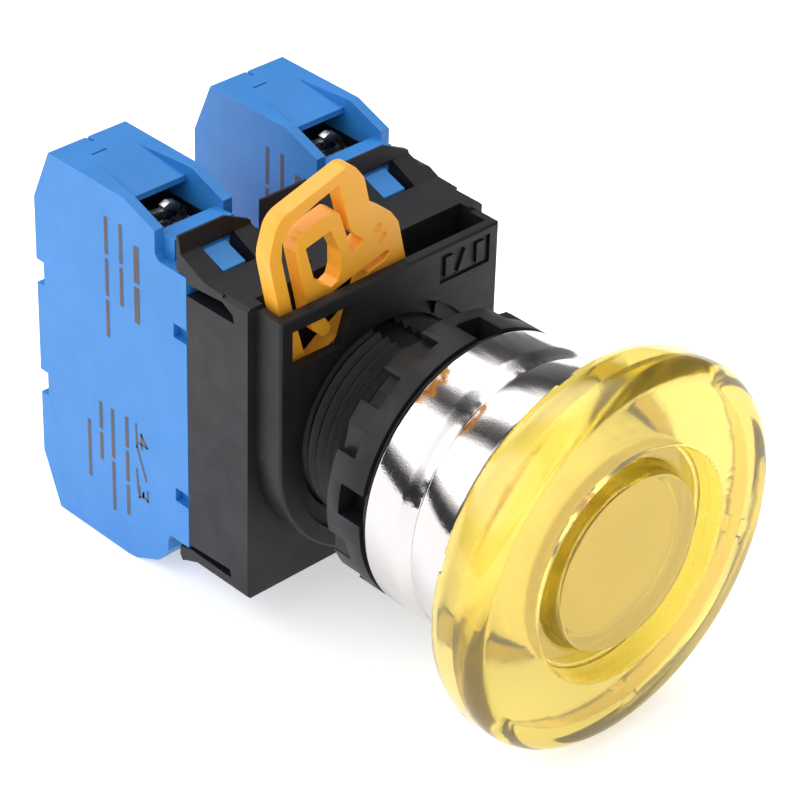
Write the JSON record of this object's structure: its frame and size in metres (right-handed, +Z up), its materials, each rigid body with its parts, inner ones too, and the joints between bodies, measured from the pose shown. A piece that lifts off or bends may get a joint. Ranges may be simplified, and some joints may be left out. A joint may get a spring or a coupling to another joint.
{
  "type": "illuminated mushroom push button",
  "caption": "Panel-mounted illuminated mushroom push button with metal bezel, locking ring, clip-on adaptor with locking lever, and contact blocks behind the panel.",
  "frame": {"origin": "on the button's axis, in the plane where the panel's front face meets the bezel", "axes": "-Y is the front, where the mushroom is; +Y goes through the panel to the contact blocks; +Z is up, the side marked by the locating key and the lever; +X is to the right seen from the front"},
  "size_m": [0.0416, 0.0702, 0.0517],
  "materials": {
    "lens_yellow": "clear tinted, polished",
    "white_plastic": "translucent diffuser",
    "black_plastic": "fine moulded grain",
    "bezel_metal": "bright nickel plate with light turning marks",
    "rubber": "matte",
    "block_blue": "fine moulded grain",
    "lever_yellow": "satin, slightly translucent",
    "spring_steel": "drawn wire",
    "screw_steel": "zinc plated",
    "brass": "stamped"
  },
  "bodies": {
    "housing": {"metal_bezel": "bezel_metal", "panel_gasket": "rubber", "operator_head": "black_plastic", "operator_barrel": "black_plastic", "button_spring": "spring_steel", "adaptor_cover": "black_plastic", "adaptor_base": "black_plastic", "lamp_holder": "black_plastic", "lamp_base": "brass", "lamp_cap": "white_plastic", "lamp_contact": "brass", "lamp_terminal_screws": "screw_steel", "left_block_shell": "block_blue", "left_block_cover": "block_blue", "left_fixed_contacts": "brass", "left_clamp_washers": "screw_steel", "left_terminal_screws": "screw_steel", "left_contact_spring": "spring_steel", "left_return_spring": "spring_steel", "right_block_shell": "block_blue", "right_block_cover": "block_blue", "right_fixed_contacts": "brass", "right_clamp_washers": "screw_steel", "right_terminal_screws": "screw_steel", "right_contact_spring": "spring_steel", "right_return_spring": "spring_steel"},
    "button": {"mushroom_lens": "lens_yellow", "diffuser_disc": "white_plastic", "lens_holder": "white_plastic", "pusher_tube": "black_plastic"},
    "slider": {"slider_plate": "black_plastic"},
    "left_contact_plunger": {"left_plunger": "black_plastic"},
    "right_contact_plunger": {"right_plunger": "black_plastic"},
    "left_contact_bridge": {"left_moving_contact": "brass"},
    "right_contact_bridge": {"right_moving_contact": "brass"},
    "nut_washer": {"anti_rotation_washer": "black_plastic"},
    "nut": {"locking_ring": "black_plastic"},
    "lever": {"locking_lever": "lever_yellow"}
  },
  "joints": [
    {"name": "button_press", "type": "slide", "parent": "housing", "child": "button", "axis": [0, 1, 0], "range_m": [0, 0.004], "stiffness_N_per_m": 1500, "springref_m": -0.003, "deforming": ["button_spring"]},
    {"name": "slider_travel", "type": "slide", "parent": "housing", "child": "slider", "axis": [0, 1, 0], "range_m": [0, 0.004]},
    {"name": "left_plunger_travel", "type": "slide", "parent": "housing", "child": "left_contact_plunger", "axis": [0, 1, 0], "range_m": [0, 0.004], "deforming": ["left_return_spring"]},
    {"name": "left_bridge_travel", "type": "slide", "parent": "housing", "child": "left_contact_bridge", "axis": [0, 1, 0], "range_m": [0, 0.0024], "deforming": ["left_contact_spring"]},
    {"name": "right_plunger_travel", "type": "slide", "parent": "housing", "child": "right_contact_plunger", "axis": [0, 1, 0], "range_m": [0, 0.004], "deforming": ["right_return_spring"]},
    {"name": "right_bridge_travel", "type": "slide", "parent": "housing", "child": "right_contact_bridge", "axis": [0, 1, 0], "range_m": [0, 0.0024], "deforming": ["right_contact_spring"]},
    {"name": "nut_travel", "type": "slide", "parent": "housing", "child": "nut_washer", "axis": [0, 1, 0], "range_m": [0, 0.0068]},
    {"name": "nut_turn", "type": "hinge", "parent": "nut_washer", "child": "nut", "pos_m": [0, 0.003, 0], "axis": [0, 1, 0], "range_deg": [0, 2040]},
    {"name": "lever_turn", "type": "hinge", "parent": "housing", "child": "lever", "pos_m": [0, 0.0152, 0], "axis": [0, 1, 0], "range_deg": [0, 28]}
  ],
  "couplings": [
    {"joint": "slider_travel", "follows": "button_press", "ratio": 1},
    {"joint": "left_plunger_travel", "follows": "button_press", "ratio": 1},
    {"joint": "left_bridge_travel", "follows": "button_press", "ratio": 0.6},
    {"joint": "right_plunger_travel", "follows": "button_press", "ratio": 1},
    {"joint": "right_bridge_travel", "follows": "button_press", "ratio": 0.6},
    {"joint": "nut_travel", "follows": "nut_turn", "m_per_rad": 0.00019099}
  ]
}
